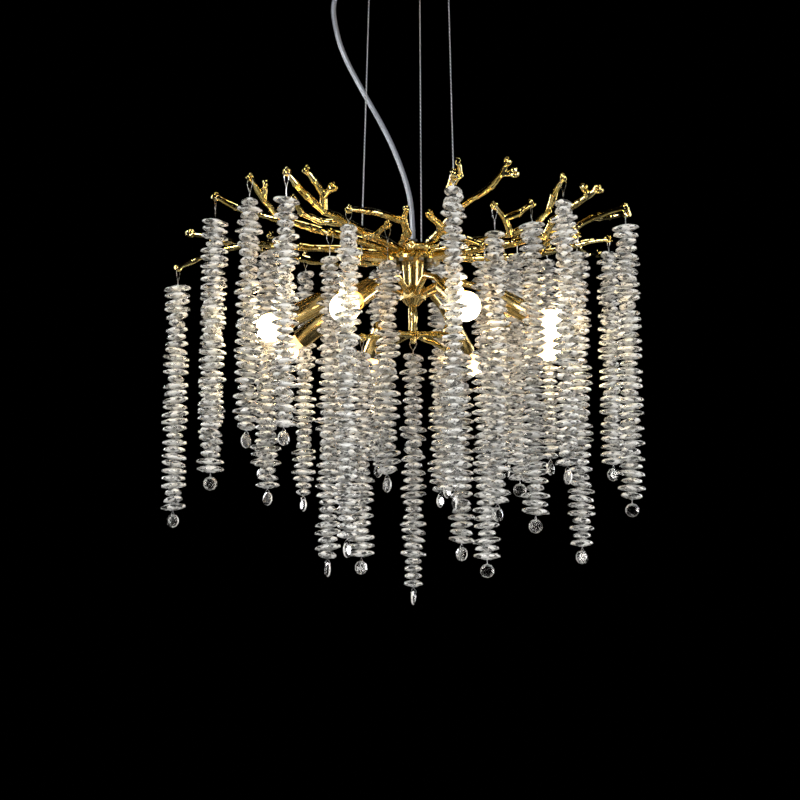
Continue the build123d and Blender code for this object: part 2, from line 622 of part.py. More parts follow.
def casting(start, start_radius, limbs, base):
    """One cast piece: its base, its limbs and the eyelets at their ends."""
    solids, holes, knots = list(base), [], {}
    for index, route in enumerate(limbs):
        points = limb_points(start if index == 0 or start is TRUNK_FORK else None, route)
        root = knots[tuple(points[0])][0] if tuple(points[0]) in knots else start_radius
        pieces, bends = limb(points, root, LIMB_TIP_RADIUS)
        knots = bends | knots
        ring, hole = eyelet(points[-2], points[-1])
        solids += pieces + [ring]
        holes.append(hole)
    # a knot at every point where limbs bend or fork
    for point, (radius, onward) in knots.items():
        solids.append(Plane(origin=point, z_dir=onward).location * Sphere(radius * KNOT_SWELL))
    body = solids[0].fuse(*solids[1:])
    return one(body.cut(*holes))


def branch(name):
    foot = BRANCH_FEET[name]
    start = foot + Vector(0, 0, FOOT_HEIGHT)
    screw = rod(foot - Vector(0, 0, 1), foot + Vector(0, 0, BRANCH_SCREW_DEPTH + 1), BRANCH_SCREW_RADIUS + STEM_FIT)
    base = [rod(foot, start, FOOT_RADIUS)]
    return [one(casting(start, LIMB_ROOT_RADIUS, BRANCHES[name][1], base) - screw)]


TRUNK_FORK = spot(0, 0, TRUNK_FORK_UP)


def lower_branch():
    """The small casting under the boss that the inner strands hang from."""
    base = [rod(Vector(0, 0, BOSS_BOTTOM), TRUNK_FORK, TRUNK_RADIUS)]
    return [casting(TRUNK_FORK, TRUNK_RADIUS * 0.85, LOWER_TWIGS, base)]


# ---- strands -------------------------------------------------------------------
# the last two points of the limb that each strand hangs from
HOOKED = {
    route[-1]: limb_points(start, route)[-2:]
    for start, limbs in [(None, limbs) for _, limbs in BRANCHES.values()] + [(TRUNK_FORK, LOWER_TWIGS)]
    for route in limbs
    if isinstance(route[-1], str)
}


def bead():
    """A flat cut oval with its hole off centre, its hole on the Z axis."""
    step = 2 * math.pi / BEAD_SIDES
    flat = 2 * math.cos(step / 2)
    corners = [
        (BEAD_HOLE_OFFSET + BEAD_LENGTH / flat * math.cos(step * (k + 0.5)), BEAD_WIDTH / flat * math.sin(step * (k + 0.5)))
        for k in range(BEAD_SIDES)
    ]
    outline = make_face(Polyline(*corners, close=True))
    half = BEAD_THICKNESS / 2
    lens = extrude(outline, half, taper=BEAD_TAPER) + extrude(outline, -half, taper=BEAD_TAPER)
    return one(lens - Cylinder(BEAD_HOLE_RADIUS, 2 * BEAD_THICKNESS))


def wire_loop(bar_half, bar_z, foot_z):
    """A closed loop of wire in the YZ plane, with its bar at one height and its narrow foot at another."""
    foot = LOOP_FOOT_WIDTH / 2
    points = [(0, bar_half, bar_z), (0, foot, foot_z), (0, -foot, foot_z), (0, -bar_half, bar_z)]
    path = FilletPolyline(*points, radius=LOOP_BEND, close=True)
    return sweep(Plane(origin=path @ 0, z_dir=path % 0) * Circle(WIRE_RADIUS), path=path)


def strand(name, bead_solid):
    """Wire, beads and end drop, with the eyelet's hole at the origin and its axis along Y."""
    _, _, _, drop, count = STRANDS[name]
    bar_z = -(EYELET_HOLE_RADIUS - WIRE_RADIUS - LOOP_FIT)
    bar_half = EYELET_THICKNESS / 2 + LOOP_SIDE_FIT + WIRE_RADIUS
    foot_z = -(drop - LOOP_TO_BEAD)
    beads_end = -drop - count * BEAD_PITCH
    drop_foot = beads_end - LOOP_TO_BEAD / 2
    drop_bar = drop_foot - DROP_LOOP_LENGTH
    drop_half = DROP_THICKNESS / 2 + LOOP_FIT + WIRE_RADIUS
    wire = wire_loop(bar_half, bar_z, foot_z)
    wire = wire.fuse(rod(Vector(0, 0, foot_z), Vector(0, 0, drop_foot), WIRE_RADIUS), wire_loop(drop_half, drop_bar, drop_foot))
    pieces = [one(wire)]
    phase = sum(STRANDS[name][:2])
    for index in range(count):
        height = -drop - BEAD_PITCH * (index + 0.5)
        turn = BEAD_WANDER * math.sin(0.8 * index + phase) + BEAD_SPREAD * math.sin(2.3 * index + 2 * phase)
        lean = BEAD_TILT * math.sin(1.7 * index + 2 * phase)
        pieces.append(Pos(0, 0, height) * Rot(0, 0, turn) * Rot(0, lean, 0) * bead_solid)
    # the drop hangs on its hole, which bears on the loop's bar
    hole_z = drop_bar + DROP_HOLE_RADIUS - WIRE_RADIUS - LOOP_FIT / 3
    flat = Rot(90, 0, 0) * Cylinder(DROP_RADIUS, DROP_THICKNESS)
    flat = chamfer(flat.edges().filter_by(GeomType.CIRCLE), DROP_BEVEL)
    flat = Pos(0, 0, hole_z - DROP_RADIUS + DROP_HOLE_EDGE) * flat
    hole = Pos(0, 0, hole_z) * Rot(90, 0, 0) * Cylinder(DROP_HOLE_RADIUS, 2 * DROP_THICKNESS)
    pieces.append(one(flat - hole))
    before, point = HOOKED[name]
    place = Plane(origin=point, x_dir=(point - before).cross(Vector(0, 0, 1)).cross(Vector(0, 0, -1)), z_dir=(0, 0, 1))
    return [place.location * piece for piece in pieces]


# ---- write every node ----------------------------------------------------------
def save(name, solids):
    for index, solid in enumerate(solids):
        solid.label = f"{name}_{index + 1}" if len(solids) > 1 else name
    shape = Compound(label=name, children=solids) if len(solids) > 1 else solids[0]
    export_step(shape, f"parts/{name}.step")
    print(name, len(solids))


def main():
    os.makedirs("parts", exist_ok=True)
    for maker in (
        ceiling_canopy, mounting_bar, canopy_screws, terminal_block, wire_grippers, suspension_ropes,
        wire_ferrules, cord_grip, power_cord, stem_tube, stem_bushing, hub_plate, hub_column, lamp_boss,
        branch_screws, lamp_arms, lamp_sleeves, lamp_sockets, lamp_bulbs, lower_branch,
    ):
        save(maker.__name__, maker())
    for name in BRANCHES:
        save(name, branch(name))
    bead_solid = bead()
    for name in STRANDS:
        save(name, strand(name, bead_solid))


if __name__ == "__main__":
    main()
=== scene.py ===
# %% [markdown]
# # A branch chandelier with crystal strands
# Knobbly cast-gold branches stand on a small hub plate that three thin steel ropes carry. Eight lit
# lamps sit below them, and thirty strands of cut clear beads hang from the branch tips. The solids
# come ready packed, each in its true place, so this lesson only dresses them: it keeps the solids
# that already look right, and builds finer pieces where light has to play on real detail.

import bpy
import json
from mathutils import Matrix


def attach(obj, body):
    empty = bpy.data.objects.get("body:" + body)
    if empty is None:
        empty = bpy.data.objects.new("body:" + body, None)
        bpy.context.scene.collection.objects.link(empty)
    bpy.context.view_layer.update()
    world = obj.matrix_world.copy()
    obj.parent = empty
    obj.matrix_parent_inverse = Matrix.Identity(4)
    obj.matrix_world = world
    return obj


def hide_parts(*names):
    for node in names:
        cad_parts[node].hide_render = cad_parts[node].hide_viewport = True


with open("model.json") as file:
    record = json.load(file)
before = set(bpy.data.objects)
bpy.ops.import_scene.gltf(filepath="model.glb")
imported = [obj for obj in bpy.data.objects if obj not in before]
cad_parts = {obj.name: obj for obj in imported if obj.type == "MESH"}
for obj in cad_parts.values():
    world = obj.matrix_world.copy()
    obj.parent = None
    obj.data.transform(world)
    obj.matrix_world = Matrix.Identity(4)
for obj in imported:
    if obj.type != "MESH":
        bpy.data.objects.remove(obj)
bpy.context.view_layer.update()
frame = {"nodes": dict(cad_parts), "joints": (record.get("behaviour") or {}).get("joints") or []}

# %% [markdown]
# ## The camera
# The photograph looks slightly up at the lamp from below its branches: the underside of the hub
# plate shows. A long lens from 2.2 m away gives the same flat perspective. The camera could be
# aimed by a constraint, but a fixed place and turn are easier to compare with the photograph.

# %% Camera
import math
import bpy

camera = bpy.data.objects.new("camera", bpy.data.cameras.new("camera"))
camera.data.lens, camera.data.sensor_width = 79.2, 36.0
camera.location = (-0.01625, -2.1666, -1.0020)
camera.rotation_euler = (math.radians(100), 0, 0)
bpy.context.collection.objects.link(camera)
bpy.context.scene.camera = camera
bpy.context.scene.view_settings.view_transform = "Standard"
print("camera looks up", round(math.degrees(camera.rotation_euler.x) - 90), "degrees")

# %% [markdown]
# ## One way to write a finish
# Every finish below is a small network of shader nodes. Written by hand that is a page of links,
# so two small classes turn it into plain sums: `Signal` is a socket that can be added, multiplied
# or subtracted, and `Finish` makes any other node from its kind, its settings and its inputs.

# %% Signal: a socket that does arithmetic
class Signal:
    """A socket of a finish. Sums and products on it add Math nodes."""

    def __init__(self, finish, socket):
        self.finish, self.socket = finish, socket

    def math(self, operation, *values):
        return self.finish.node("Math", {"operation": operation}, dict(enumerate(values)))

    def __add__(self, other):
        return self.math("ADD", self, other)

    def __sub__(self, other):
        return self.math("SUBTRACT", self, other)

    def __rsub__(self, other):
        return self.math("SUBTRACT", other, self)

    def __mul__(self, other):
        return self.math("MULTIPLY", self, other)

    __radd__, __rmul__ = __add__, __mul__


# %% Finish: a network of nodes
class Finish:
    """A material's or the world's nodes. Its method node makes every node that isn't a sum."""

    def __init__(self, name, owner=None):
        self.material = owner or bpy.data.materials.new(name)
        self.material.use_nodes = True
        self.tree = self.material.node_tree
        self.tree.nodes.clear()

    def node(self, kind, settings=None, inputs=None, output=0):
        made = self.tree.nodes.new("ShaderNode" + kind)
        for key, value in (settings or {}).items():
            if key == "stops":
                ramp = made.color_ramp
                ramp.elements[0].position, ramp.elements[1].position = value[0][0], value[-1][0]
                for place, _ in value[1:-1]:
                    ramp.elements.new(place)
                for element, (_, colour) in zip(ramp.elements, value):
                    element.color = (*colour, 1.0)
            else:
                setattr(made, key, value)
        for key, value in (inputs or {}).items():
            if isinstance(value, Signal):
                self.tree.links.new(value.socket, made.inputs[key])
            else:
                made.inputs[key].default_value = value
        return Signal(self, made.outputs[output]) if len(made.outputs) else made

    def place(self, *scale):
        """Where a point lies on its piece, stretched along the axes where grain has a direction."""
        place = self.node("TexCoord", output="Object")
        return self.node("Mapping", {}, {"Vector": place, "Scale": scale}) if scale else place

    def grain(self, where, size, detail=3.0, roughness=0.5):
        """Soft noise whose lumps are about size metres across."""
        return self.node("TexNoise", {}, {"Vector": where, "Scale": 1 / size, "Detail": detail, "Roughness": roughness})

    def ramp(self, signal, *stops):
        """Colours along a signal."""
        return self.node("ValToRGB", {"stops": stops}, {0: signal})

    def between(self, signal, low, high):
        """A signal of 0 to 1 stretched to run from low to high."""
        return signal * (high - low) + low

    def bump(self, height, depth, strength=1.0):
        """Lumps of a depth in metres, for a shader's Normal."""
        return self.node("Bump", {}, {"Height": height, "Distance": depth, "Strength": strength})

    def shader(self, **sockets):
        """One Principled shader. Underscores in the names of its sockets stand for spaces."""
        inputs = {key.replace("_", " "): value for key, value in sockets.items()}
        return self.node("BsdfPrincipled", {}, {"IOR": 1.5} | inputs, "BSDF")

    def surface(self, shader=None, **sockets):
        """Ends the finish, in a shader of its own unless one is given."""
        self.node("OutputMaterial", {}, {"Surface": shader or self.shader(**sockets)})
        print("finish", self.material.name, "has", len(self.tree.nodes), "nodes")
        return self.material


# %% [markdown]
# ## Studio
# The lamp was photographed against plain black. The room here lights it evenly from all round, but
# rays that go straight to the camera, or bounce off gold, or pass through crystal, see the black
# backdrop. That dark room between bright panels is what gives polished gold its strong contrast.

# %% World: soft grey light, black backdrop
world = bpy.data.worlds.new("studio")
bpy.context.scene.world = world
room = Finish("studio", world)
seen = {way: room.node("LightPath", output=f"Is {way} Ray") for way in ("Camera", "Glossy", "Transmission")}
backdrop = seen["Camera"].math("MAXIMUM", seen["Camera"].math("MAXIMUM", seen["Camera"], seen["Glossy"]), seen["Transmission"])
ROOM_LIGHT = 0.35
glow = room.node("Background", {}, {"Color": (1.0, 1.0, 1.0, 1.0), "Strength": ROOM_LIGHT * (1 - backdrop)})
room.node("OutputWorld", {}, {"Surface": glow})
print("room light", ROOM_LIGHT)

# %% Soft panels
def panel(name, place, aim, size, power, colour=(1, 1, 1)):
    """A square soft light that the camera doesn't see."""
    light = bpy.data.lights.new(name, "AREA")
    light.shape, light.size, light.energy, light.color = "SQUARE", size, power, colour
    lamp = bpy.data.objects.new(name, light)
    lamp.location = place
    lamp.rotation_euler = (Vector(aim) - Vector(place)).to_track_quat("-Z", "Y").to_euler()
    lamp.visible_camera = False
    bpy.context.collection.objects.link(lamp)
    print(name, power, "W at", place)


from mathutils import Vector, noise

MIDDLE = (0.0, 0.0, -0.62)
panel("key_panel", (-1.5, -2.0, 0.1), MIDDLE, 0.7, 31, (1.0, 0.98, 0.94))
panel("fill_panel", (1.8, -1.6, -0.6), MIDDLE, 0.8, 26, (1.0, 0.98, 0.94))
panel("top_panel", (0.5, -0.6, 1.2), MIDDLE, 0.6, 6)
panel("rim_panel_left", (-1.6, 1.5, -0.1), MIDDLE, 0.7, 14)
panel("rim_panel_right", (1.7, 1.4, -0.4), MIDDLE, 0.7, 14)

# %% Floor
FLOOR_DOWN, FLOOR_REACH = -1.55, 2.3
rim = [(FLOOR_REACH * math.cos(t * math.pi / 32), FLOOR_REACH * math.sin(t * math.pi / 32), FLOOR_DOWN) for t in range(64)]
floor_mesh = bpy.data.meshes.new("floor")
floor_mesh.from_pydata(rim, [], [list(range(64))])
floor = bpy.data.objects.new("floor", floor_mesh)
bpy.context.collection.objects.link(floor)
plaster = Finish("pale_plaster")
mottle = plaster.grain(plaster.place(), 0.05)
pale = plaster.shader(Base_Color=plaster.ramp(mottle, (0.3, (0.70, 0.70, 0.69)), (0.7, (0.76, 0.76, 0.75))), Roughness=0.85)
unlit = plaster.shader(Base_Color=(0.02, 0.02, 0.02, 1.0), Roughness=0.85)
in_metal = plaster.node("LightPath", output="Is Glossy Ray")
floor_mesh.materials.append(plaster.surface(plaster.node("MixShader", {}, {0: in_metal, 1: pale, 2: unlit})))
print("floor at", FLOOR_DOWN, "m")

# %% [markdown]
# ## The power cord
# A clear sleeve over bright braided wire leaves the strain relief in the canopy, swings out a
# little, and runs down in a long lazy curve into the stem. It could be a swept mesh, but a NURBS
# curve with the route's few points keeps one smooth line with no kinks, and its bevel is the round
# section. An order of 3 makes it follow the points closely.

# %% Cord: route
CORD_EXIT, CORD_END = (-0.092, 0.0, -0.052), (0.0, 0.0, -0.413)
CORD_ROUTE = ((-0.092, -0.067), (-0.104, -0.095), (-0.101, -0.126), (-0.090, -0.166),
              (-0.062, -0.220), (-0.031, -0.276), (-0.010, -0.330), (0.0, -0.374))
CORD_RADIUS = 0.0032
cord_line = bpy.data.curves.new("power_cord_flex", "CURVE")
cord_line.dimensions, cord_line.bevel_depth, cord_line.bevel_resolution = "3D", CORD_RADIUS, 6
spline = cord_line.splines.new("NURBS")
route = [CORD_EXIT, *((x, 0.0, z) for x, z in CORD_ROUTE), CORD_END]
spline.points.add(len(route) - 1)
for point, place in zip(spline.points, route):
    point.co = (*place, 1.0)
spline.order_u, spline.use_endpoint_u, spline.resolution_u = 3, True, 16
cord_line.use_fill_caps = True
flex = bpy.data.objects.new("power_cord_flex", cord_line)
bpy.context.collection.objects.link(flex)
print("cord goes through", len(route), "points")

# %% Cord: clear sleeve over braid
braid = Finish("clear_sleeve_over_braid")
across, back = (braid.node("TexWave", {"wave_type": "BANDS", "bands_direction": "DIAGONAL"},
                           {"Vector": braid.place(turn, 1, 1), "Scale": 170.0, "Distortion": 0.4}, "Fac") for turn in (1, -1))
weave = across.math("MAXIMUM", across, back)
flex.data.materials.append(braid.surface(
    Base_Color=braid.ramp(weave, (0.2, (0.09, 0.10, 0.12)), (0.9, (0.40, 0.43, 0.50))),
    Metallic=0.5, Roughness=braid.between(weave, 0.42, 0.22), Coat_Weight=1.0, Coat_Roughness=0.04,
    Normal=braid.bump(weave, 0.0004, 0.6)))

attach(flex, "frame")
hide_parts("power_cord")

# %% [markdown]
# ## Gold
# The branches are cast brass under a bright gold plating: pale yellow where they mirror a panel and
# nearly black where they mirror the room. Metal gets its colour from what it reflects, so the
# finish is a metallic shader with an uneven surface. The tubes and cups are drawn, so they are
# smoother, and the ceiling plate is satin.

# %% Cast gold
def gold(name, lump, lump_depth, skin_depth, shine, deep, pale):
    """Gold plating: its colour wanders a little, and its skin is lumpy at two scales."""
    metal = Finish(name)
    where = metal.place()
    lumps, skin = metal.grain(where, lump), metal.grain(where, lump / 6, 2.0)
    tone = metal.ramp(lumps * 0.7 + skin * 0.3, (0.36, deep), (0.62, pale))
    relief = metal.between(lumps, 0, lump_depth) + metal.between(skin, 0, skin_depth)
    return metal.surface(Base_Color=tone, Metallic=1.0, Roughness=metal.between(skin, *shine), Normal=metal.bump(relief, 1.0))


CAST_GOLD = gold("cast_gold", 0.016, 0.0006, 0.00002, (0.06, 0.14), (0.70, 0.50, 0.11), (0.98, 0.84, 0.40))
DRAWN_GOLD = gold("drawn_gold", 0.018, 0.0006, 0.00002, (0.14, 0.24), (0.74, 0.50, 0.13), (0.98, 0.80, 0.38))
SATIN_GOLD = gold("satin_gold", 0.020, 0.0001, 0.00004, (0.30, 0.42), (0.80, 0.55, 0.20), (0.90, 0.66, 0.28))

# %% [markdown]
# ## Steel, plastic and lit glass
# The small fittings each have their own plain finish. Rope steel is twisted, so fine diagonal bands
# cross it. The bulbs are lit: their frosted glass is far brighter than anything else at the tip and
# dims towards the neck. The eight lamps stand alike round the middle and point out and down, so
# how far along its lamp a point lies follows from its distance to the middle line and its height.

# %% Steel
def steel(name, colour, size, shine, stretch):
    metal = Finish(name)
    scratches = metal.grain(metal.place(*stretch), size, 4.0)
    dark = tuple(0.72 * c for c in colour)
    return metal.surface(Base_Color=metal.ramp(scratches, (0.35, dark), (0.65, colour)), Metallic=1.0,
                         Roughness=metal.between(scratches, *shine), Normal=metal.bump(scratches, 0.00005))


ZINC = steel("zinc_plate", (0.70, 0.72, 0.76), 0.004, (0.30, 0.48), (1, 1, 1))
WIRE = steel("bright_wire", (0.80, 0.81, 0.83), 0.002, (0.20, 0.34), (1, 1, 0.3))

# %% Twisted rope
twist = Finish("steel_rope")
lay = twist.node("TexWave", {"wave_type": "BANDS", "bands_direction": "DIAGONAL"},
                 {"Vector": twist.place(1, 1, 0.5), "Scale": 260.0}, "Fac")
ROPE = twist.surface(Base_Color=twist.ramp(lay, (0.1, (0.22, 0.22, 0.24)), (0.8, (0.74, 0.75, 0.78))), Metallic=1.0,
                     Roughness=twist.between(lay, 0.5, 0.28), Normal=twist.bump(lay, 0.0003))

# %% Plastics
def plastic(name, colour, size, depth, shine, **more):
    skin = Finish(name)
    pores = skin.grain(skin.place(), size, 2.0)
    dark = tuple(0.86 * c for c in colour)
    return skin.surface(Base_Color=skin.ramp(pores, (0.35, dark), (0.65, colour)),
                        Roughness=skin.between(pores, *shine), Normal=skin.bump(pores, depth), **more)


BLACK = plastic("black_insulator", (0.05, 0.05, 0.055), 0.0008, 0.00006, (0.38, 0.52))
WHITE = plastic("white_insulator", (0.86, 0.86, 0.83), 0.0010, 0.00005, (0.36, 0.48))
CLEAR = plastic("clear_grip", (0.86, 0.88, 0.92), 0.0030, 0.00008, (0.10, 0.20), Transmission_Weight=0.55)

# %% Lit bulbs
LAMP_REACH, LAMP_UP, LAMP_TILT, BULB_RADIUS = 0.184, -0.540, math.radians(30), 0.0175

lit = Finish("lit_glass")
veil = lit.grain(lit.place(), 0.02)
spot = lit.node("SeparateXYZ", {}, {"Vector": lit.place()}, "Z")
aside = lit.node("VectorMath", {"operation": "LENGTH"}, {"Vector": lit.place(1, 1, 0)}, "Value")
along = (aside - LAMP_REACH) * math.cos(LAMP_TILT) - (spot - LAMP_UP) * math.sin(LAMP_TILT)
glow = along * (0.5 / BULB_RADIUS) + lit.between(veil, 0.35, 0.65)
BULB = lit.surface(Base_Color=(1.0, 0.95, 0.86, 1.0), Roughness=0.15, Emission_Strength=110.0,
                   Emission_Color=lit.ramp(glow, (0.0, (0.02, 0.009, 0.002)), (0.45, (0.06, 0.038, 0.013)),
                                           (0.7, (0.3, 0.21, 0.10)), (1.0, (1.0, 0.80, 0.46))))

# %% Finishes of the solids that stay
KEPT = {
    SATIN_GOLD: ["ceiling_canopy", "canopy_screws"],
    DRAWN_GOLD: ["wire_grippers", "wire_ferrules", "stem_tube", "hub_plate", "hub_column", "lamp_boss", "lamp_arms", "lamp_sleeves"],
    ZINC: ["mounting_bar", "branch_screws"],
    ROPE: ["suspension_ropes"],
    BLACK: ["stem_bushing", "lamp_sockets"],
    WHITE: ["terminal_block"],
    CLEAR: ["cord_grip"],
    BULB: ["lamp_bulbs"],
}
for finish, names in KEPT.items():
    for name in names:
        for place in frame["nodes"][name].material_slots:
            place.material = finish
print("kept", sum(map(len, KEPT.values())), "solids' shapes")

# %% [markdown]
# ## Cast branches
# Each branch was carved in wax and cast, so its limbs swell and pinch, flow into one another at the
# forks, and no stretch is quite straight or round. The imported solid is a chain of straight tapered
# rods. Sculpting by hand isn't possible in a script, so the rods go through a voxel remesh, which
# gives one even skin, then a smoothing that melts the joints, and then noise pushes that skin.

# %% One even skin
import numpy as np

VOXEL, FILL_OUT = 0.0011, 0.0009


def even_skin(name, node, passes):
    """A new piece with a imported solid's shape in even small faces."""
    piece = bpy.data.objects.new(name, frame["nodes"][node].data.copy())
    bpy.context.collection.objects.link(piece)
    skin = piece.modifiers.new("even_skin", "REMESH")
    skin.mode, skin.voxel_size = "VOXEL", VOXEL
    melt = piece.modifiers.new("melt", "SMOOTH")
    melt.factor, melt.iterations = 0.5, passes
    mesh = bpy.data.meshes.new_from_object(piece.evaluated_get(bpy.context.evaluated_depsgraph_get()))
    piece.modifiers.clear()
    piece.data = mesh
    return piece


# %% Knobbly limbs
HOOKS = np.array([joint["pos_m"] for joint in frame["joints"]])
LUMP, LUMP_RISE, SWAY, SWAY_REACH = 0.011, 0.0010, 0.035, 0.0020
HUB_TOP, FREE_FROM, FREE_OVER = -0.440, 0.007, 0.020


def knobbly(piece):
    """Pushes a cast piece's skin in and out, and bends its limbs away from where things fit."""
    count = len(piece.data.vertices)
    places, outward = np.empty(count * 3), np.empty(count * 3)
    piece.data.vertices.foreach_get("co", places)
    piece.data.vertex_normals.foreach_get("vector", outward)
    places, outward = places.reshape(-1, 3), outward.reshape(-1, 3)
    near_hook = np.min([np.linalg.norm(places - hook, axis=1) for hook in HOOKS], axis=0)
    near_hub = np.linalg.norm(places - (0, 0, HUB_TOP), axis=1) - 0.030
    free = np.clip((np.minimum(near_hook, near_hub) - FREE_FROM) / FREE_OVER, 0, 1)
    lumps = np.array([noise.noise(Vector(p) / LUMP) for p in places])
    sway = np.array([noise.noise_vector(Vector(p) / SWAY) for p in places])
    places += outward * (FILL_OUT * (0.4 + 0.6 * free) + lumps * LUMP_RISE * (0.3 + 0.7 * free))[:, None] + sway * (SWAY_REACH * free)[:, None]
    piece.data.vertices.foreach_set("co", places.ravel())
    piece.data.update()


# %% Cast every branch
for node in [name for name in frame["nodes"] if "branch" in name and name != "branch_screws"]:
    cast = even_skin(f"cast_{node}", node, 9)
    knobbly(cast)
    cast.data.materials.clear()
    cast.data.materials.append(CAST_GOLD)
    cast.data.polygons.foreach_set("use_smooth", [True] * len(cast.data.polygons))
    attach(cast, "frame")
    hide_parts(node)
    print(cast.name, len(cast.data.polygons), "faces")

# %% [markdown]
# ## Crystal
# The beads are thick clear pebbles with ground facets. Cut glass sparkles because each of its facets
# shows a different patch of the room: some catch a panel and go white, others find the black
# backdrop. So the facets are real faces, shaded flat. Rays that bounce about inside a whole strand
# would take long to follow, so each face carries a painted light level, a number for how brightly it
# is taken to be lit, and the finish mixes clear glass and painted white by it, with painted shade in
# the clear glass where the level is low.

# %% Cut crystal
CHIP_AND_SPECK_SIZE = 0.0016


def crystal():
    """Clear glass mixed with painted white by each face's painted light level: the painted white faces stand in for
    glints, and the clear faces get a painted tint from dark to white.
    """
    cut = Finish("cut_crystal")
    chips_and_painted_specks = cut.grain(cut.place(), CHIP_AND_SPECK_SIZE, 2.0)
    facet = cut.node("Attribute", {"attribute_name": "facet"}, output="Fac")
    # The painted light level of each face, mottled into painted specks by noise.
    mottled_painted_light = facet + cut.between(chips_and_painted_specks, -0.5, 0.5)
    chips = cut.bump(chips_and_painted_specks, 0.0006, 0.6)
    # Painted highlight: near-white for the faces that stand in for glints off a panel.
    white = cut.ramp(chips_and_painted_specks, (0.35, (0.92, 0.91, 0.88)), (0.6, (1.0, 1.0, 0.98)))
    lit = cut.shader(Base_Color=white, Roughness=0.08, Transmission_Weight=0.12, Normal=chips)
    # Painted shade and light in the clear glass: near black where the painted light level is low, white where it is
    # high.
    through = cut.ramp(mottled_painted_light, (0.06, (0.05, 0.055, 0.06)), (0.2, (0.60, 0.62, 0.64)), (0.3, (0.98, 0.98, 0.97)))
    clear = cut.shader(Base_Color=through, Roughness=0.02, IOR=1.6, Transmission_Weight=1.0, Normal=chips)
    # How much painted white a face gets, by its painted light level.
    share = cut.node("MapRange", {"interpolation_type": "SMOOTHSTEP"},
                     {"Value": mottled_painted_light, "From Min": 0.42, "From Max": 0.60})
    return cut.surface(cut.node("MixShader", {}, {0: share, 1: clear, 2: lit}))


CRYSTAL = crystal()

# %% [markdown]
# ## Bead shapes
# A bead is a thick oval pebble with round ends and bands of facets around, and it rests on the bead
# below. Cut glass leaves its faces either white or dark, so each face also gets a painted light
# level: painted light round the wire and at the two ends, painted shade on the flanks, which mostly
# show what is behind. One shape repeated would line up like a screw thread, so there are several,
# each a little uneven.

# %% One bead
BEAD_REACH, BEAD_BREADTH, BEAD_SIDES = 0.0178, 0.0108, 14
BEAD_RINGS = ((0.0043, 0.26), (0.0034, 0.50), (0.0025, 0.75), (0.0011, 0.95),
              (-0.0011, 1.0), (-0.0025, 0.77), (-0.0034, 0.52), (-0.0043, 0.28))
# Painted light levels of the faces: a random range for each band of faces, and more or less by the place along the
# bead.
BAND_LIT = ((0.0, 0.7), (0.2, 1.0), (0.2, 1.0), (0.0, 0.9), (0.2, 1.0), (0.2, 1.0), (0.0, 0.7), (0.0, 0.6))
CORE, END = 0.30, 0.82
CORE_LIT, FLANK_LIT, END_LIT = 0.15, -0.20, 0.45


def lit_along(share):
    """How much more painted light a face gets for its place along the bead, from the wire at 0 to the end at 1."""
    return CORE_LIT if share < CORE else END_LIT if share > END else FLANK_LIT


def bead_shape(rng):
    """Points and faces of one uneven bead, and each face's painted light level."""
    points, faces = [], []
    uneven = rng.uniform(0.94, 1.0) * rng.uniform(0.95, 1.0, BEAD_SIDES)
    for row, (height, share) in enumerate(BEAD_RINGS):
        for side in range(BEAD_SIDES):
            turn = 2 * math.pi * (side + 0.5 * (row % 2)) / BEAD_SIDES
            reach = share * (uneven[side] + uneven[(side + row % 2) % BEAD_SIDES]) / 2
            points.append((BEAD_REACH * reach * math.cos(turn), BEAD_BREADTH * reach * math.sin(turn),
                           height + rng.uniform(-0.0004, 0.0004)))
    last = len(BEAD_RINGS) - 1
    for row in range(last):
        for side in range(BEAD_SIDES):
            beside = (side + 1) % BEAD_SIDES
            a, b, c, d = (row * BEAD_SIDES + side, row * BEAD_SIDES + beside,
                          (row + 1) * BEAD_SIDES + side, (row + 1) * BEAD_SIDES + beside)
            faces += [(a, c, b), (b, c, d)] if row % 2 == 0 else [(a, c, d), (a, d, b)]
    faces += [tuple(range(BEAD_SIDES)), tuple(last * BEAD_SIDES + side for side in reversed(range(BEAD_SIDES)))]
    points = np.array(points)
    bands = [min(index // (2 * BEAD_SIDES), last) for index in range(len(faces))]
    # Each face's painted light level: random within its band, plus painted light round the wire and at the ends and
    # painted shade on the flanks.
    lit = [rng.uniform(*BAND_LIT[band]) + lit_along(abs(points[list(face), 0].mean()) / BEAD_REACH)
           for band, face in zip(bands, faces)]
    return points, faces, np.array(lit)


rng = np.random.default_rng(7)
BEADS = [bead_shape(rng) for _ in range(11)]
print(len(BEADS), "bead shapes of", len(BEADS[0][1]), "faces")

# %% End drop
DROP_REACH, DROP_HALF, DROP_SIDES = 0.0084, 0.0024, 10


def drop_shape():
    """The ten-sided disc on the end of a strand, hung by its rim, with its axis along Y."""
    points, faces = [], []
    rings = ((-DROP_HALF, 0.62), (-0.0009, 0.99), (0.0009, 0.99), (DROP_HALF, 0.62))
    for depth, share in rings:
        points += [(DROP_REACH * share * math.cos(2 * math.pi * (s + 0.5) / DROP_SIDES), depth,
                    DROP_REACH * share * math.sin(2 * math.pi * (s + 0.5) / DROP_SIDES)) for s in range(DROP_SIDES)]
    for row in range(3):
        for s in range(DROP_SIDES):
            n = (s + 1) % DROP_SIDES
            faces.append((row * DROP_SIDES + s, row * DROP_SIDES + n, (row + 1) * DROP_SIDES + n, (row + 1) * DROP_SIDES + s))
    faces += [tuple(reversed(range(DROP_SIDES))), tuple(3 * DROP_SIDES + s for s in range(DROP_SIDES))]
    # Painted light levels by ring of faces: the rim band is painted brighter than the sloped bands and the two flat
    # faces.
    return np.array(points), faces, np.repeat((0.35, 0.65, 0.35, 0.3), (DROP_SIDES, DROP_SIDES, DROP_SIDES, 2))


DROP = drop_shape()
print("end drop of", len(DROP[1]), "faces")

# %% [markdown]
# ## Wires
# Each strand is threaded on thin wire. Its top is bent through the ring of a branch tip into a
# drop-shaped loop, and the free end is wound round the wire below. A wire is a tube drawn along
# points: at each point a small ring of corners is set square to the run.

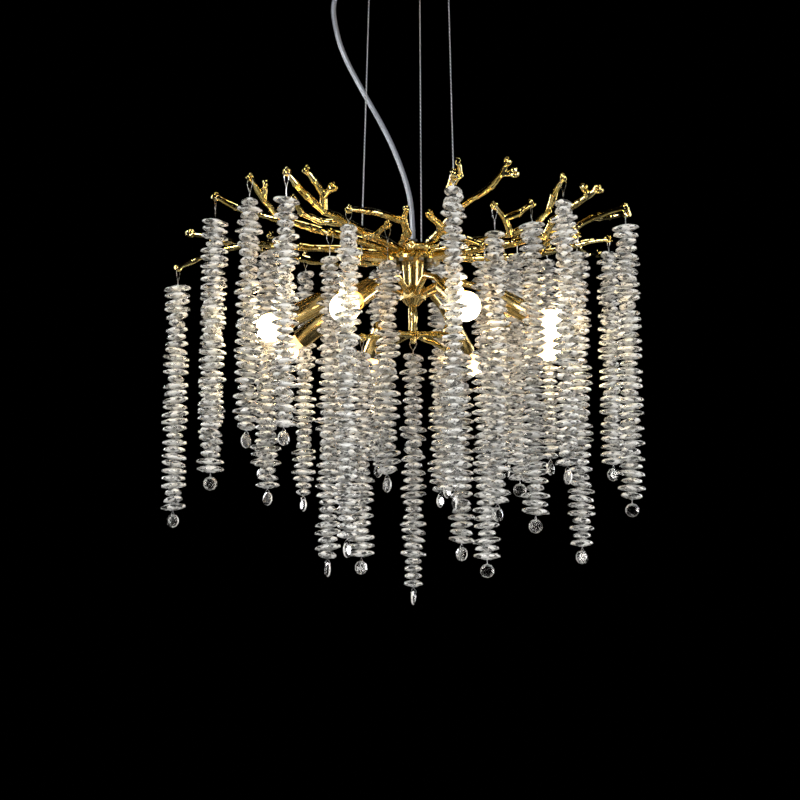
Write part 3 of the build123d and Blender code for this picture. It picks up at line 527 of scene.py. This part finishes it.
# %% Tube along points
def tube(points, radius, sides=6):
    """Points and faces of a round wire through some points."""
    line = np.array(points, float)
    along = np.gradient(line, axis=0)
    along /= np.linalg.norm(along, axis=1)[:, None]
    up = np.array((1.0, 0.0, 0.0))
    corners, faces = [], []
    for here, way in zip(line, along):
        up = up - way * (up @ way)
        up /= np.linalg.norm(up)
        side = np.cross(way, up)
        for s in range(sides):
            turn = 2 * math.pi * s / sides
            corners.append(here + radius * (up * math.cos(turn) + side * math.sin(turn)))
    for row in range(len(line) - 1):
        for s in range(sides):
            n = (s + 1) % sides
            faces.append((row * sides + s, row * sides + n, (row + 1) * sides + n, (row + 1) * sides + s))
    faces += [tuple(reversed(range(sides))), tuple((len(line) - 1) * sides + s for s in range(sides))]
    # A wire's faces get a painted light level of 1, which the wire's finish doesn't read.
    return np.array(corners), faces, np.ones(len(faces))


# %% Loop through a ring, and a wound neck
WIRE_RADIUS = 0.00035


def loop_line(high, low, half, width):
    """A drop-shaped loop in the YZ plane, over a bar half deep, from its neck round and back."""
    length = high - low
    side = [(0.10 * width, 0.04), (0.40 * width, 0.22), (0.80 * width, 0.45), (width, 0.70), (0.92 * width, 0.88), (half, 0.975), (half * 0.55, 1.0)]
    right = [(0.0, y, low + t * length) for y, t in side]
    left = [(0.0, -y, z) for _, y, z in reversed(right)]
    return [(0.0, 0.0, low), *right, *left, (0.0, 0.0, low)]


def wound(high, low, turns, radius):
    """The free end wound round the wire."""
    steps = turns * 8
    return [(radius * math.cos(k * math.pi / 4), radius * math.sin(k * math.pi / 4), high + (low - high) * k / steps) for k in range(steps + 1)]


# %% [markdown]
# ## Strands
# Down each wire the beads sit 9 mm apart and turn every way, so that long ends and short ends
# alternate along the strand's edge. A strand hangs as one piece from the ring that it swings in,
# so it is built in its ring's own directions and then carried there.

# %% Where each strand starts and how many beads it has
STRANDS = {  # height from ring to first bead in mm, number of beads
    "01": (23, 32), "02": (29, 35), "03": (26, 31), "04": (31, 30), "05": (20, 34), "06": (24, 34),
    "07": (31, 41), "08": (19, 40), "09": (18, 28), "10": (46, 28), "11": (18, 32), "12": (18, 39),
    "13": (18, 26), "14": (21, 40), "15": (31, 36), "16": (18, 32), "17": (23, 39), "18": (28, 35),
    "19": (22, 41), "20": (18, 31), "21": (22, 38), "22": (21, 27), "23": (21, 31), "24": (22, 36),
    "25": (22, 29), "26": (21, 35), "27": (21, 30), "28": (21, 30), "29": (18, 17), "30": (18, 14),
}
BEAD_PITCH, BEAD_OFF = 0.0090, 0.0003
print(sum(beads for _, beads in STRANDS.values()), "beads on", len(STRANDS), "strands")

# %% Gather shapes into one mesh
class Heap:
    """Points and faces of many shapes, and each face's painted light level, for one mesh with two finishes."""

    def __init__(self):
        self.points, self.faces, self.finish, self.tones, self.count = [], [], [], [], 0

    def add(self, shape, finish, turn=0.0, lean=0.0, off=(0, 0, 0), place=(0, 0, 0)):
        """Adds a shape moved by off, leant about Y, turned about Z and put in its place."""
        points, faces, tones = shape
        points = points + np.array(off)
        c, s = math.cos(lean), math.sin(lean)
        points = points @ np.array(((c, 0, s), (0, 1, 0), (-s, 0, c))).T
        c, s = math.cos(turn), math.sin(turn)
        points = points @ np.array(((c, -s, 0), (s, c, 0), (0, 0, 1))).T + np.array(place)
        self.points.append(points)
        self.faces += [tuple(self.count + corner for corner in face) for face in faces]
        self.finish += [finish] * len(faces)
        self.tones += list(tones)
        self.count += len(points)


# %% String one strand
RING_HOLE, RING_HALF, CLEAR_OF = 0.0022, 0.0025, 0.0009


def string_beads(number):
    """The wire of a strand from its ring's middle, with its top loop and wound neck; its beads and end drop are added
    after.
    """
    drop, beads = STRANDS[number]
    drop /= 1000
    rng = np.random.default_rng(int(number))
    heap = Heap()
    bar = -(RING_HOLE - WIRE_RADIUS - 0.0001)
    neck = -min(drop - 0.004, 0.019)
    heap.add(tube(loop_line(bar, neck, RING_HALF + CLEAR_OF, 0.0042), WIRE_RADIUS), 1)
    heap.add(tube(wound(neck + 0.0004, neck - 0.0034, 3, 0.0006), 0.00028), 1)
    end = -drop - beads * BEAD_PITCH
    heap.add(tube([(0, 0, neck), (0, 0, (neck + end) / 2), (0, 0, end - 0.001)], WIRE_RADIUS), 1)
    return heap, rng, drop, beads, end


print("strand 01 has", string_beads("01")[3], "beads")

# %% Make every strand
for joint in frame["joints"]:
    node = joint["child"]
    number = node[-2:]
    heap, rng, drop, beads, end = string_beads(number)
    hook = Vector(joint["pos_m"])
    phase = round((hook.x - hook.y) * 1000)
    for index in range(beads):
        turn = 40 * math.sin(0.8 * index + phase) + 35 * math.sin(2.3 * index + 2 * phase) + rng.uniform(-20, 20)
        lean = 6 * math.sin(0.45 * index + 2 * phase) + rng.uniform(-3, 3)
        heap.add(BEADS[rng.integers(len(BEADS))], 0, math.radians(turn), math.radians(lean), (rng.uniform(-BEAD_OFF, BEAD_OFF), 0, 0),
                 (0, 0, -drop - BEAD_PITCH * (index + 0.5)))
    foot, bar = end - 0.001, end - 0.007
    heap.add(tube(loop_line(bar, foot, 0.0031, 0.0033), WIRE_RADIUS), 1)
    heap.add(DROP, 0, place=(0, 0, bar - 0.0060))
    axis = Vector(joint["axis"])
    directions = np.array((axis.cross((0, 0, 1)), axis, (0, 0, 1)))
    mesh = bpy.data.meshes.new(f"crystal_{node}")
    mesh.from_pydata(np.concatenate(heap.points) @ directions + np.array(hook), [], heap.faces)
    for finish in (CRYSTAL, WIRE):
        mesh.materials.append(finish)
    mesh.polygons.foreach_set("material_index", heap.finish)
    # Each face's painted light level goes to the crystal finish as a face attribute.
    mesh.attributes.new("facet", "FLOAT", "FACE").data.foreach_set("value", heap.tones)
    mesh.update()
    piece = bpy.data.objects.new(mesh.name, mesh)
    bpy.context.collection.objects.link(piece)
    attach(piece, node)
    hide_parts(node)

# %% [markdown]
# ## Sizes
# The dressed lamp must fill the same box as its solids.

# %% Sizes
import json
